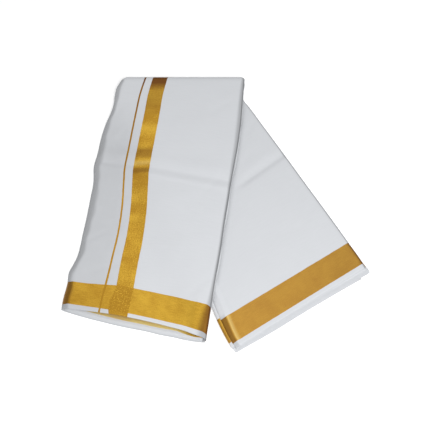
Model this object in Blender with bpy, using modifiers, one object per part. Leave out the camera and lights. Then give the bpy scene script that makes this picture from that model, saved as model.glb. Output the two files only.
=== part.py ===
"""A white cotton dhoti with woven gold borders, folded and laid down.

The cloth is folded lengthwise into a strip of about twelve leaves, and the strip is folded once across. Its two
halves are splayed: the front half lies on top, and the back half comes out from under it on the right. The parts
are the leaves that show and one solid of all the leaves that don't. Metres, +Z up, and the cloth lies on z = 0.
"""

import math
from collections import namedtuple

import bmesh
import bpy
from mathutils import Vector

# Driving dimensions.
LEAF = 0.001  # wall of a leaf of cloth
GAP = 0.0003  # left between neighbouring pieces
HALF = 0.012  # thickness of one half of the folded strip
FOLD_Y = 0.3283  # centre line of the top fold, in the plan of the tables below
PLAN_CENTRE = (0.00159, 0.00103)  # the middle of the whole outline in that plan, which is the part's origin
SLOPE = 0.050  # width over which the front half comes down beside the back half
SHOULDER = 0.030  # how far it stays level before it comes down
LIFT = 0.005  # how far the front leaf's open end stands up off the second leaf
LIFT_SKEW = 0.75  # puts the highest point of that lift left of the middle
OPEN_END_LIFTS = [0.15, 0.5, 0.85, 1.0]  # shares of the lift along the last sections, the selvedge last
ROLL_LEFT = 0.012  # reach of the front leaf's soft left fold
ROLL_RIGHT = 0.006  # reach of its right fold
BACK_ROLL = 0.005  # reach of the back leaf's right fold
BACK_DEPTH = 0.006  # depth of the ellipse that its fold follows
CROSS_STATIONS = 20  # divisions across a leaf, between its folds
FOLD_STEPS = 6  # divisions round the top fold
LEFT_STEPS = 6  # divisions round a left fold
RIGHT_STEPS = 4  # divisions round a right fold
LEFT_END = 215  # degrees at which the left fold ends, turned under from 90 on top
RIGHT_END = 25  # degrees at which the right fold ends
BACK_END = 35  # degrees at which the back leaf's right fold ends
LAYERS = 5  # leaves that the inner solid's edges show

INNER = HALF - LEAF - GAP  # thickness of the hidden leaves of one half
BENEATH = LEAF + GAP  # room that one leaf takes
HINGE_R = (LEAF + 3 * GAP) / 2  # the top fold's inner radius
HINGE_Z = INNER + HINGE_R  # height of its centre line
FOLD_END = math.radians(150)  # where the front leaf tucks in behind the top fold

# A section across the strip: its left and right ends in plan, how far its middle bows out beyond the straight
# line between them, and how much a pressed crease takes off its thickness.
Section = namedtuple("Section", "left_x left_y right_x right_y bow crease")

FRONT = [
    Section(-0.2320, 0.3283, 0.0655, 0.3283, 0.000, 0.0000),
    Section(-0.2430, 0.2900, 0.0620, 0.2760, 0.000, 0.0000),
    Section(-0.2535, 0.2350, 0.0530, 0.2080, 0.000, 0.0000),
    Section(-0.2645, 0.1780, 0.0430, 0.1400, 0.000, 0.0000),
    Section(-0.2725, 0.1250, 0.0340, 0.0780, 0.000, 0.0004),
    Section(-0.2775, 0.0950, 0.0280, 0.0400, 0.000, 0.0010),
    Section(-0.2785, 0.0650, 0.0262, 0.0070, 0.000, 0.0002),
    Section(-0.2790, 0.0050, 0.0185, -0.0530, 0.000, 0.0000),
    Section(-0.2850, -0.0680, 0.0085, -0.1250, 0.000, 0.0000),
    Section(-0.2965, -0.1300, -0.0020, -0.1880, -0.001, 0.0000),
    Section(-0.3010, -0.1540, -0.0060, -0.2140, -0.002, 0.0000),
    Section(-0.3085, -0.1925, -0.0128, -0.2545, -0.003, 0.0000),
    Section(-0.3135, -0.2200, -0.0170, -0.2800, -0.003, 0.0000),
    Section(-0.3155, -0.2425, -0.0208, -0.3045, -0.004, 0.0000),
    Section(-0.3160, -0.2535, -0.0222, -0.3159, -0.004, 0.0000),
]
FRONT_GOLD = (11, 13)  # the sections where the front border's gold begins and ends
SECOND_FRONT = [
    Section(-0.3060, -0.1800, -0.0105, -0.2400, -0.002, 0.0000),
    Section(-0.3120, -0.2125, -0.0155, -0.2725, -0.001, 0.0000),
    Section(-0.3150, -0.2390, -0.0205, -0.3000, 0.002, 0.0000),
    Section(-0.3155, -0.2490, -0.0225, -0.3130, 0.006, 0.0000),
    Section(-0.3155, -0.2545, -0.0241, -0.3255, 0.009, 0.0000),
]
SECOND_FRONT_HEIGHTS = [0.0088, 0.0088, 0.0075, 0.0052, 0.0028]
SECOND_FRONT_GOLD = (1, 3)
FRONT_STAIRS = [  # beyond the gold's beginning the hidden leaves end one after another
    (Section(-0.3025, -0.1620, -0.0074, -0.2220, -0.002, 0.0), 0.66),
    (Section(-0.3085, -0.1925, -0.0128, -0.2545, -0.002, 0.0), 0.66),
    (Section(-0.3115, -0.2100, -0.0155, -0.2700, -0.001, 0.0), 0.66),
    (Section(-0.3117, -0.2108, -0.0157, -0.2708, -0.001, 0.0), 0.48),
    (Section(-0.3135, -0.2260, -0.0178, -0.2860, 0.000, 0.0), 0.48),
    (Section(-0.3137, -0.2268, -0.0180, -0.2868, 0.000, 0.0), 0.28),
    (Section(-0.3147, -0.2400, -0.0200, -0.3010, 0.002, 0.0), 0.28),
]

BACK = [
    Section(-0.2220, 0.3283, 0.0720, 0.3283, 0.000, 0.0000),
    Section(-0.2010, 0.2730, 0.0670, 0.2750, 0.000, 0.0000),
    Section(-0.1587, 0.1623, 0.1093, 0.1990, 0.000, 0.0000),
    Section(-0.1164, 0.0516, 0.1515, 0.1230, 0.000, 0.0008),
    Section(-0.0741, -0.0591, 0.1938, 0.0470, 0.000, 0.0000),
    Section(-0.0318, -0.1698, 0.2361, -0.0290, 0.000, 0.0000),
    Section(0.0105, -0.2805, 0.2783, -0.1051, 0.000, 0.0000),
    Section(0.0350, -0.3285, 0.3061, -0.1527, 0.000, 0.0000),
    Section(0.0410, -0.3365, 0.3127, -0.1627, 0.000, 0.0000),
]
BACK_GOLD = (6, 7)
BACK_WHOLE = 5  # the sections down to here are at full thickness, and the stairs begin at the next one
SECOND_BACK = [
    Section(-0.0080, -0.2500, 0.2680, -0.0860, 0.000, 0.0000),
    Section(0.0025, -0.2765, 0.2790, -0.1065, 0.000, 0.0000),
    Section(0.0275, -0.3300, 0.3075, -0.1550, 0.000, 0.0000),
    Section(0.0320, -0.3385, 0.3150, -0.1660, 0.000, 0.0000),
]
SECOND_BACK_GOLD = (1, 2)
BACK_STAIRS = [
    (Section(-0.0318, -0.1698, 0.2361, -0.0290, 0.000, 0.0), 0.00),
    (Section(-0.0200, -0.2000, 0.2480, -0.0500, 0.000, 0.0), 0.20),
    (Section(0.0320, -0.3370, 0.3140, -0.1650, 0.000, 0.0), 0.20),
    (Section(0.0322, -0.3375, 0.3144, -0.1655, 0.000, 0.0), 0.45),
    (Section(0.0330, -0.3385, 0.3175, -0.1695, 0.000, 0.0), 0.45),
    (Section(0.0332, -0.3390, 0.3178, -0.1700, 0.000, 0.0), 0.70),
    (Section(0.0340, -0.3400, 0.3200, -0.1735, 0.000, 0.0), 0.70),
]

# How far each of the inner solid's layers stands in from the section's left and right ends, from the side
# that is folded inwards to the outer side, with the corners first and last.
Edges = namedtuple("Edges", "left right")
FRONT_EDGES = Edges(
    left=(0.0110, 0.0085, 0.0045, 0.0030, 0.0035, 0.0075, 0.0120),
    right=(-0.0040, -0.0055, -0.0050, -0.0035, 0.0045, 0.0060, 0.0090),
)
FOLD_EDGES = Edges(
    left=(0.0080, 0.0060, 0.0040, 0.0030, 0.0040, 0.0075, 0.0120),
    right=(0.0005, -0.0010, -0.0020, 0.0000, 0.0045, 0.0060, 0.0090),
)
BACK_EDGES = Edges(
    left=(0.0100, 0.0085, 0.0070, 0.0050, 0.0030, 0.0020, 0.0050),
    right=(0.0075, 0.0060, 0.0045, 0.0030, 0.0020, 0.0010, 0.0020),
)
GROOVE = 0.0012  # depth of the groove between two layers

WHITE_COTTON = ("white_cotton", (0.86, 0.87, 0.88), 0.85, 0.0)
GOLD_ZARI = ("gold_zari", (0.72, 0.47, 0.10), 0.42, 0.55)


def smooth_step(value):
    value = min(max(value, 0.0), 1.0)
    return value * value * (3 - 2 * value)


def mix(low, high, share):
    return low + (high - low) * share


def mixed_section(low, high, share):
    return Section(*(mix(a, b, share) for a, b in zip(low, high)))


def width_of(section):
    return math.hypot(section.right_x - section.left_x, section.right_y - section.left_y)


def plan_point(section, across):
    """The plan position at a distance across the strip from the section's left end, bowed in its middle."""
    width = width_of(section)
    share = across / width
    along_x = (section.right_x - section.left_x) / width
    along_y = (section.right_y - section.left_y) / width
    bow = section.bow * math.sin(math.pi * min(max(share, 0.0), 1.0))
    x = section.left_x + along_x * across + along_y * bow
    y = section.left_y + along_y * across - along_x * bow
    return x, y


def from_plan(x, y, z):
    return Vector((x - PLAN_CENTRE[0], y - PLAN_CENTRE[1], z))


def back_left_x(y):
    """Where the back half's left side runs at this distance from the top fold."""
    for upper, lower in zip(BACK, BACK[1:]):
        if y >= lower.left_y:
            share = min(max((upper.left_y - y) / (upper.left_y - lower.left_y), 0.0), 1.0)
            return mix(upper.left_x, lower.left_x, share)
    return BACK[-1].left_x


def ground_under_front(x, y):
    """Height of the front half's underside: on the back half, or beside it, or on its way down."""
    return (HALF + 2 * GAP) * smooth_step((x - back_left_x(y) + SLOPE + SHOULDER) / SLOPE)


def on_front(section, across, height):
    x, y = plan_point(section, across)
    pressed = height - section.crease * height / HALF
    return from_plan(x, y, ground_under_front(x, y) + pressed)


def on_fold(turn, across, height):
    """A point on the half turn of the top fold, which starts on the front half and ends on the back half."""
    section = mixed_section(FRONT[0], BACK[0], turn / math.pi)
    radius = HINGE_R + height
    x = section.left_x + across
    return from_plan(x, FOLD_Y + radius * math.sin(turn), HINGE_Z + radius * math.cos(turn))


def on_back(section, across, depth):
    x, y = plan_point(section, across)
    height = INNER - depth
    return from_plan(x, y, height - section.crease * height / HALF)


def stations(width):
    """Distances across the strip, the same for all the pieces, so that those that lie on each other run alike."""
    return [mix(ROLL_LEFT, width - ROLL_RIGHT, n / CROSS_STATIONS) for n in range(CROSS_STATIONS + 1)]


def ring_outline(width, inner, outer, edges, full):
    """The section of the hidden leaves, as (across, height) pairs: layered ends joined by two plain sides."""

    def end(insets):
        pairs = [(insets[0], inner)]
        for layer in range(LAYERS):
            inset = insets[layer + 1]
            if layer:
                groove = max(inset, insets[layer]) + GROOVE
                pairs.append((groove, full * layer / LAYERS))
            pairs.append((inset, full * (layer + 0.5) / LAYERS))
        pairs.append((insets[-1], outer))
        # Where fewer leaves lie, the layers keep their number and lie closer together.
        squeeze = (outer - inner) / full
        layered = [(inset, inner + height * squeeze) for inset, height in pairs[1:-1]]
        return [pairs[0], *layered, pairs[-1]]

    left = end(edges.left)
    right = [(width - inset, height) for inset, height in end(edges.right)]
    flat = stations(width)[1:-1]
    upper = [(across, outer) for across in flat]
    lower = [(across, inner) for across in reversed(flat)]
    return left + upper + right[::-1] + lower


def new_object(name, mesh_data, materials):
    mesh = bpy.data.meshes.new(name)
    mesh_data.normal_update()
    mesh_data.to_mesh(mesh)
    mesh_data.free()
    for material in materials:
        mesh.materials.append(material)
    mesh.shade_smooth()
    mesh.set_sharp_from_angle(angle=math.radians(40))
    made = bpy.data.objects.new(name, mesh)
    folded_dhoti.objects.link(made)
    return made


def cap(shell, ring, inward):
    """Closes one end of the loft: quads between its two plain sides, and one face at each layered end."""
    end_points = LAYERS * 2 + 1
    side_points = CROSS_STATIONS - 1
    upper = ring[end_points:end_points + side_points]
    lower = ring[-side_points:][::-1]
    left = ring[:end_points]
    right = ring[end_points + side_points:-side_points]
    faces = [[*left, upper[0], lower[0]], [*right, lower[-1], upper[-1]]]
    for n in range(side_points - 1):
        faces.append([lower[n], upper[n], upper[n + 1], lower[n + 1]])
    for corners in faces:
        shell.faces.new(corners[::-1] if inward else corners)


def loft_closed(name, rings, materials):
    shell = bmesh.new()
    loops = [[shell.verts.new(point) for point in ring] for ring in rings]
    for upper, lower in zip(loops, loops[1:]):
        count = len(upper)
        for n in range(count):
            after = (n + 1) % count
            shell.faces.new([upper[n], upper[after], lower[n]])
            shell.faces.new([upper[after], lower[after], lower[n]])
    cap(shell, loops[0], inward=True)
    cap(shell, loops[-1], inward=False)
    bmesh.ops.triangulate(shell, faces=shell.faces)
    bmesh.ops.recalc_face_normals(shell, faces=shell.faces)
    return new_object(name, shell, materials)


def leaf_sheet(name, rows, gold_rows, materials):
    """A leaf of cloth: an open surface through its rows of points, given its wall by Solidify."""
    surface = bmesh.new()
    lines = [[surface.verts.new(point) for point in row] for row in rows]
    for index, (upper, lower) in enumerate(zip(lines, lines[1:])):
        for n in range(len(upper) - 1):
            halves = [upper[n], lower[n], lower[n + 1]], [upper[n], lower[n + 1], upper[n + 1]]
            for corners in halves:
                face = surface.faces.new(corners)
                face.material_index = int(gold_rows[0] <= index < gold_rows[1])
    made = new_object(name, surface, materials)
    wall = made.modifiers.new("wall", "SOLIDIFY")
    wall.thickness = LEAF
    wall.offset = 0
    wall.use_even_offset = True
    return made


def rolled_outline(width, left_roll, right_roll, right_end, full):
    """A leaf's section: its folds at both ends are parts of ellipses, and it is flat between them."""
    middle = full / 2
    rise = (full - LEAF) / 2
    pairs = []
    for step in range(LEFT_STEPS if left_roll else 0):
        angle = math.radians(mix(LEFT_END, 90, step / LEFT_STEPS))
        pairs.append((left_roll + (left_roll - LEAF / 2) * math.cos(angle), middle + rise * math.sin(angle)))
    if not left_roll:
        pairs.append((0, middle + rise))
    for across in stations(width):
        pairs.append((across, middle + rise))
    for step in range(1, RIGHT_STEPS + 1):
        angle = math.radians(mix(90, right_end, step / RIGHT_STEPS))
        reach = (right_roll - LEAF / 2) * math.cos(angle)
        pairs.append((width - right_roll + reach, middle + rise * math.sin(angle)))
    return pairs


def cloth_material(name, colour, roughness, metallic):
    material = bpy.data.materials.new(name)
    material.use_nodes = True
    shader = material.node_tree.nodes["Principled BSDF"]
    shader.inputs["Base Color"].default_value = (*colour, 1)
    shader.inputs["Roughness"].default_value = roughness
    shader.inputs["Metallic"].default_value = metallic
    material.diffuse_color = (*colour, 1)
    return material


def standing(share_of_lift, across, width):
    """How far a point of the open end stands up: nothing at its two folds, and the most left of its middle."""
    return LIFT * share_of_lift * math.sin(math.pi * (across / width) ** LIFT_SKEW) ** 2


def make_front_leaf(materials):
    rows = []
    for step in range(FOLD_STEPS, 0, -1):
        turn = FOLD_END * step / FOLD_STEPS
        width = width_of(mixed_section(FRONT[0], BACK[0], turn / math.pi))
        outline = rolled_outline(width, ROLL_LEFT, ROLL_RIGHT, RIGHT_END, HALF)
        rows.append([on_fold(turn, across, height) for across, height in outline])
    lifts = [0.0] * (len(FRONT) - len(OPEN_END_LIFTS)) + OPEN_END_LIFTS
    for section, lift in zip(FRONT, lifts):
        width = width_of(section)
        row = []
        for across, height in rolled_outline(width, ROLL_LEFT, ROLL_RIGHT, RIGHT_END, HALF):
            row.append(on_front(section, across, height + standing(lift, across, width)))
        rows.append(row)
    gold_rows = [FOLD_STEPS + index for index in FRONT_GOLD]
    return leaf_sheet("front_leaf", rows, gold_rows, materials)


def make_front_second_leaf(materials):
    rows = []
    for section, height in zip(SECOND_FRONT, SECOND_FRONT_HEIGHTS):
        flat = stations(width_of(section))[1:-1]
        rows.append([on_front(section, across, height) for across in flat])
    return leaf_sheet("front_second_leaf", rows, SECOND_FRONT_GOLD, materials)


def make_back_leaf(materials):
    rows = []
    for section in BACK[1:]:
        outline = rolled_outline(width_of(section), 0, BACK_ROLL, BACK_END, BACK_DEPTH)
        rows.append([on_back(section, across, BACK_DEPTH - BENEATH - height) for across, height in outline])
    gold_rows = [index - 1 for index in BACK_GOLD]
    return leaf_sheet("back_leaf", rows, gold_rows, materials)


def make_back_second_leaf(materials):
    rows = []
    for section in SECOND_BACK:
        flat = [0.0, *stations(width_of(section))[:-1]]
        rows.append([on_back(section, across, LEAF / 2) for across in flat])
    return leaf_sheet("back_second_leaf", rows, SECOND_BACK_GOLD, materials)


def make_inner_leaves(materials):
    rings = []
    for section, share in reversed(FRONT_STAIRS):
        outline = ring_outline(width_of(section), 0, INNER * share, FRONT_EDGES, INNER)
        rings.append([on_front(section, across, height) for across, height in outline])
    for section in reversed(FRONT[:FRONT_GOLD[0]]):
        outline = ring_outline(width_of(section), 0, INNER, FRONT_EDGES, INNER)
        rings.append([on_front(section, across, height) for across, height in outline])
    for step in range(1, FOLD_STEPS):
        turn = math.pi * step / FOLD_STEPS
        section = mixed_section(FRONT[0], BACK[0], turn / math.pi)
        outline = ring_outline(width_of(section), 0, INNER, FOLD_EDGES, INNER)
        rings.append([on_fold(turn, across, height) for across, height in outline])
    for section in BACK[:BACK_WHOLE]:
        outline = ring_outline(width_of(section), 0, INNER, BACK_EDGES, INNER)
        rings.append([on_back(section, across, height) for across, height in outline])
    for section, share in BACK_STAIRS:
        outline = ring_outline(width_of(section), INNER * share, INNER, BACK_EDGES, INNER)
        rings.append([on_back(section, across, height) for across, height in outline])
    return loft_closed("inner_leaves", rings, materials)


for old in list(bpy.data.objects):
    bpy.data.objects.remove(old, do_unlink=True)

folded_dhoti = bpy.data.collections.new("folded_dhoti")
bpy.context.scene.collection.children.link(folded_dhoti)
white = cloth_material(*WHITE_COTTON)
gold = cloth_material(*GOLD_ZARI)

for make_leaf in (make_front_leaf, make_front_second_leaf, make_back_leaf, make_back_second_leaf):
    make_leaf([white, gold])
make_inner_leaves([white])
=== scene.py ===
"""A white cotton dhoti with woven gold borders, folded to a strip, folded once across and laid down.

The cloth is folded along its length into a strip of about twelve leaves. The strip is then folded once
across, so that two halves lie splayed on each other. Four pieces are made, each a thin shell with the
cloth's own coordinates as its UV map: the outermost leaf that wraps the front half, the top leaf of the
back half, the leaf beneath it, and the ten hidden leaves. Metres, +Z up, and the cloth lies on z = 0.
"""

import math
from collections import namedtuple

import bpy
import numpy as np
from bpy.props import FloatProperty, FloatVectorProperty, PointerProperty
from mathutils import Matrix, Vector


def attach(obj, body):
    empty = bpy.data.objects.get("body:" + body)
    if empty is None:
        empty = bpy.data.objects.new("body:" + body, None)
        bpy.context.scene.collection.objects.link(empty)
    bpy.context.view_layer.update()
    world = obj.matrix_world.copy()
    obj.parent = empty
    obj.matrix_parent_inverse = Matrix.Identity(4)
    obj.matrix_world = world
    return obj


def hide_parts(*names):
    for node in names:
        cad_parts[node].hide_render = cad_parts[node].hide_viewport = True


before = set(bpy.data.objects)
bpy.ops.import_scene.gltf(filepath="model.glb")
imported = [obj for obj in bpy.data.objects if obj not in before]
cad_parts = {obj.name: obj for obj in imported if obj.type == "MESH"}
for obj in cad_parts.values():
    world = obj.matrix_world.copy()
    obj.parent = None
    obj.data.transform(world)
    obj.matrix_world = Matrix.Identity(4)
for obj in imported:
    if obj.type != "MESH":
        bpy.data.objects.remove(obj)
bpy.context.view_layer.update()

bl_info = {
    "name": "Folded dhoti",
    "version": (1, 0, 0),
    "blender": (4, 5, 0),
    "location": "3D View > Sidebar > Dhoti",
    "description": "A folded white cotton dhoti with woven gold borders",
    "category": "Add Mesh",
}

# The folded strip, as in the construction model.
HALF = 0.012  # thickness of one half of the strip
LEAF_ROOM = 0.0013  # the outer leaf and its gap
INNER = HALF - LEAF_ROOM  # thickness of the hidden leaves of one half
FOLD_Y = 0.3288  # centre line of the top fold, in the plan of the tables
PLAN_CENTRE = (0.00159, 0.00103)  # the origin, in the plan of the tables
UNDER_FRONT = 0.0126  # how high the front half lies on the back half
SLOPE = 0.120  # width over which it comes down beside the back half
SHOULDER = -0.004  # how far beside the back half it stays level before it comes down
HINGE_R = 0.00095  # inner radius of the top fold
HINGE_Z = INNER + HINGE_R
WRAP_END = math.radians(150)  # where the outer leaf tucks in behind the top fold

# A section across the strip: its ends in plan, how far its middle bows out, where the thin line and the
# band's two edges cross it (distances from the left end), how far its open middle stands up, and the
# reach of its right fold.
Section = namedtuple(
    "Section", "left_x left_y right_x right_y bow line band_left band_right lift right_roll"
)
FRONT = [
    Section(-0.2310, 0.3288, 0.0668, 0.3288, 0.000, 0.0595, 0.0773, 0.1125, 0.0000, 0.0100),
    Section(-0.2425, 0.2900, 0.0622, 0.2760, 0.000, 0.0618, 0.0803, 0.1157, 0.0000, 0.0110),
    Section(-0.2535, 0.2350, 0.0568, 0.2080, 0.000, 0.0655, 0.0851, 0.1205, 0.0000, 0.0120),
    Section(-0.2645, 0.1780, 0.0482, 0.1400, 0.000, 0.0690, 0.0886, 0.1246, 0.0000, 0.0110),
    Section(-0.2725, 0.1250, 0.0382, 0.0780, 0.000, 0.0703, 0.0898, 0.1262, 0.0000, 0.0100),
    Section(-0.2775, 0.0950, 0.0318, 0.0400, 0.000, 0.0713, 0.0909, 0.1279, 0.0000, 0.0090),
    Section(-0.2785, 0.0650, 0.0270, 0.0070, 0.000, 0.0722, 0.0917, 0.1285, 0.0000, 0.0080),
    Section(-0.2790, 0.0050, 0.0180, -0.0530, 0.000, 0.0728, 0.0919, 0.1285, 0.0000, 0.0080),
    Section(-0.2850, -0.0680, 0.0082, -0.1250, 0.000, 0.0738, 0.0929, 0.1291, 0.0000, 0.0080),
    Section(-0.2965, -0.1300, -0.0020, -0.1880, -0.001, 0.0757, 0.0956, 0.1322, 0.0000, 0.0085),
    Section(-0.3010, -0.1540, -0.0060, -0.2140, -0.002, 0.0765, 0.0973, 0.1339, 0.0002, 0.0095),
    Section(-0.3085, -0.1925, -0.0118, -0.2545, -0.003, 0.0778, 0.0998, 0.1373, 0.0010, 0.0120),
    Section(-0.3135, -0.2200, -0.0152, -0.2800, -0.003, 0.0786, 0.0950, 0.1388, 0.0027, 0.0160),
    Section(-0.3155, -0.2425, -0.0188, -0.3045, -0.004, 0.0776, 0.0955, 0.1371, 0.0042, 0.0190),
    Section(-0.3160, -0.2535, -0.0202, -0.3159, -0.007, 0.0766, 0.0965, 0.1357, 0.0046, 0.0200),
]
LIFT_SKEW = 0.75  # puts the highest point of the open end's lift left of its middle

# How far the leaf beneath sticks out beyond the front leaf's selvedge, at shares of the strip's width.
LOWER_LIP = [
    (0.00, 0.0015), (0.10, 0.0072), (0.18, 0.0108), (0.26, 0.0133), (0.35, 0.0157),
    (0.43, 0.0169), (0.60, 0.0165), (0.70, 0.0168), (0.78, 0.0150), (0.86, 0.0148),
    (0.93, 0.0132), (1.00, 0.0105),
]
LIP_SLIDE = 0.16  # length over which that leaf slides out

# At shares of the width, how far the front leaf's lip sags out, and how much wider its border is woven.
LIP_SHARES = [
    (0.00, 0.0000, 0.0000), (0.08, 0.0000, 0.0000), (0.19, 0.0000, 0.0025),
    (0.33, 0.0000, 0.0072), (0.55, 0.0000, 0.0078), (0.72, 0.0000, 0.0072),
    (0.84, 0.0005, 0.0048), (0.92, 0.0035, 0.0033), (1.00, 0.0050, 0.0020),
]
CORNER_SAG = 0.05  # length over which it sags
BACK_BORDER_RISE = 0.0055  # how much wider the back half's border is than the front's narrowest

# How far the soft left fold swells out beyond the sections' left ends, at places down the plan.
LEFT_SWELLS = [
    (0.328, 0.0000), (0.311, 0.0025), (0.291, 0.0000), (0.268, -0.0038), (0.249, -0.0038),
    (0.211, 0.0010), (0.160, 0.0022), (0.131, 0.0012), (0.092, 0.0012), (0.052, -0.0020),
    (0.012, 0.0012), (-0.048, 0.0032), (-0.080, 0.0030), (-0.107, 0.0006), (-0.135, 0.0002),
    (-0.152, 0.0032), (-0.172, 0.0070), (-0.192, 0.0035), (-0.240, 0.0030),
]
SWELL_REACH = 0.040  # how far in from the left end a swell is felt

# How far in the left fold's strip of painted shade reaches, at distances down from the top fold.
LEFT_HANDLED = [
    (0.000, 0.0150), (0.035, 0.0195), (0.060, 0.0175), (0.085, 0.0165), (0.160, 0.0190),
    (0.230, 0.0225), (0.300, 0.0215), (0.375, 0.0225), (0.450, 0.0185), (0.490, 0.0200),
    (0.520, 0.0165), (0.555, 0.0145), (0.575, 0.0190), (0.660, 0.0190),
]

# The back half's sections: ends in plan, and how far in from the left end the left fold's ridge runs.
BackSection = namedtuple("BackSection", "left_x left_y right_x right_y ridge")
BACK = [
    BackSection(-0.2220, 0.3288, 0.0670, 0.3288, 0.013),
    BackSection(-0.2070, 0.2900, 0.0615, 0.2900, 0.013),
    BackSection(-0.2030, 0.2780, 0.0640, 0.2780, 0.013),
    BackSection(-0.1925, 0.2509, 0.0760, 0.2585, 0.013),
    BackSection(-0.1587, 0.1623, 0.1101, 0.1995, 0.013),
    BackSection(-0.1164, 0.0516, 0.1536, 0.1243, 0.013),
    BackSection(-0.0741, -0.0591, 0.1965, 0.0487, 0.013),
    BackSection(-0.0318, -0.1698, 0.2397, -0.0267, 0.013),
    BackSection(0.0092, -0.2813, 0.2822, -0.1026, 0.0145),
    BackSection(0.0328, -0.3300, 0.3086, -0.1511, 0.0125),
    BackSection(0.0385, -0.3384, 0.3136, -0.1621, 0.0125),
]
BACK_ROLL = 0.005  # reach of the back leaf's right fold
BACK_DEPTH = 0.0085  # depth of the ellipses that its folds follow
SECOND_BACK = [
    BackSection(-0.0330, -0.1950, 0.2430, -0.0420, 0.006),
    BackSection(-0.0110, -0.2480, 0.2680, -0.0860, 0.006),
    BackSection(-0.0010, -0.2745, 0.2790, -0.1065, 0.006),
    BackSection(0.0252, -0.3288, 0.3090, -0.1562, 0.006),
    BackSection(0.0300, -0.3372, 0.3155, -0.1668, 0.006),
]
SECOND_ROLL = 0.004
SECOND_DEPTH = 0.006
SECOND_HEIGHT = INNER - 0.0005
BACK_U = 0.12  # the cloth's coordinate at the left end of the leaves that show no band

# The hidden leaves, from the one on the inside of the top fold to the one on its outside.
HIDDEN = 10
HIDDEN_FIRST = 0.0012  # height of the first one in the front half
HIDDEN_PITCH = 0.0010
# How far each of their folds stands in from the section's ends, in the same order.
FRONT_LEFT_INSETS = [0.0060, 0.0055, 0.0075, 0.0105, 0.0140]
FRONT_RIGHT_INSETS = [0.0010, -0.0012, 0.0008, 0.0045]
FRONT_LIP_INSETS = [0.0035, 0.0040, 0.0055, 0.0090]  # at the right, near the open end
FOLD_RIGHT_INSETS = [0.0030, 0.0020, 0.0030, 0.0060]
BACK_LEFT_INSETS = [0.0130, 0.0095, 0.0010, -0.0045, -0.0010]
BACK_RIGHT_INSETS = [0.0040, 0.0014, 0.0004, 0.0010]
BACK_LIP_INSETS = [0.0020, -0.0012, -0.0032, -0.0036]  # at the right, at the open end
FREE_END_INSET = 0.020  # how far in the two free ends stand
FRONT_FREE_INSET = 0.004  # how far in the first of them stands near the front half's open end
# How much nearer to the lip these leaves' border lies in the front half, at shares of the width.
LEAF_SLANT = [
    (0.00, -0.0022), (0.40, -0.0034), (0.50, -0.0034), (0.60, -0.0028),
    (0.71, -0.0036), (0.81, -0.0030), (0.92, 0.0030), (1.00, 0.0045),
]
# Where each of them ends: how far inside the front half's lip, and how far beyond the back leaf's.
FRONT_RECESS = [0.000, 0.019, 0.022, 0.026, 0.031, 0.037, 0.043, 0.049, 0.055, 0.061]
BACK_REACH = [-0.0005, 0.0012, 0.0008, 0.0028, 0.0024, 0.0044, 0.0040, 0.0060, 0.0058, 0.0075]
RIGHT_REACH = 0.0055  # how much further the lowest of them stand out at the back half's right corner

# Soft troughs (and, with a depth below zero, ridges) on the plan: both ends, depth and half width. On
# its far side, left of the way from start to end, one can be wider by the factor in the last column.
Crease = namedtuple("Crease", "start_x start_y end_x end_y depth half_width far", defaults=[1.0])
FRONT_CREASES = [
    Crease(-0.3000, 0.1085, -0.1727, 0.0845, 0.0012, 0.0056, 1.3),
    Crease(-0.1727, 0.0845, 0.0400, 0.0390, 0.0013, 0.0056, 1.8),
    Crease(-0.3000, 0.1320, -0.1727, 0.1085, -0.0014, 0.0140),
    Crease(-0.1727, 0.1085, 0.0400, 0.0700, -0.0008, 0.0150),
    Crease(-0.1850, 0.0700, 0.0400, 0.0210, -0.0010, 0.0060),
    Crease(-0.2820, -0.1000, -0.2350, -0.0750, 0.0006, 0.0050),
    Crease(-0.2750, -0.1750, -0.2050, -0.1500, 0.0004, 0.0070),
    Crease(-0.2550, 0.2000, -0.2250, 0.2450, 0.0005, 0.0060),
    Crease(-0.2600, 0.1500, -0.2200, 0.1850, -0.0004, 0.0080),
    Crease(-0.0150, 0.2300, 0.0350, 0.2650, 0.0004, 0.0080),
    Crease(-0.0600, -0.2300, -0.0150, -0.1900, 0.0005, 0.0075),
    Crease(-0.0500, -0.3000, -0.0380, -0.2400, -0.0006, 0.0080),
    Crease(-0.0300, 0.0100, 0.0100, 0.0600, 0.0004, 0.0070),
    Crease(-0.1000, -0.0300, 0.0050, -0.0600, 0.0003, 0.0120),
]
BACK_CREASES = [
    Crease(0.0300, 0.0243, 0.1560, 0.1248, 0.0030, 0.0068, 2.8),
    Crease(0.0300, 0.0460, 0.1560, 0.1460, -0.0010, 0.0130),
    Crease(0.0600, 0.1500, 0.0850, 0.2150, 0.0006, 0.0060),
    Crease(0.0450, 0.0800, 0.0800, 0.1300, 0.0005, 0.0080),
    Crease(0.0400, -0.2500, 0.1000, -0.2150, 0.0004, 0.0090),
    Crease(0.2000, -0.0300, 0.2300, 0.0150, 0.0004, 0.0080),
    Crease(0.1000, -0.0900, 0.1900, -0.0600, 0.0003, 0.0140),
]
CREASE_FADE = 0.018  # length over which a crease dies away at its ends

# Gentle swells of cloth that isn't pressed quite flat: length, direction in degrees, phase and height.
Swell = namedtuple("Swell", "length direction phase height")
SWELLS = [
    Swell(0.231, 12.0, 0.7, 0.00022),
    Swell(0.157, 71.0, 2.1, 0.00022),
    Swell(0.113, 128.0, 4.4, 0.00016),
    Swell(0.083, 39.0, 1.3, 0.00014),
    Swell(0.061, 101.0, 5.2, 0.00009),
    Swell(0.043, 157.0, 3.6, 0.00005),
]

FLOOR_SIZE = 8.0
FLOOR_DROP = 0.0004  # how far below the cloth the floor lies
ROOM_LIGHT = 0.36
CAMERA_ELEVATION = math.radians(61)
CAMERA_DISTANCE = 1.70
CAMERA_LENS = 64.76  # millimetres, on a 36 mm sensor
CAMERA_AIM = (-0.00559, -0.03053, 0.0)


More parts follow.
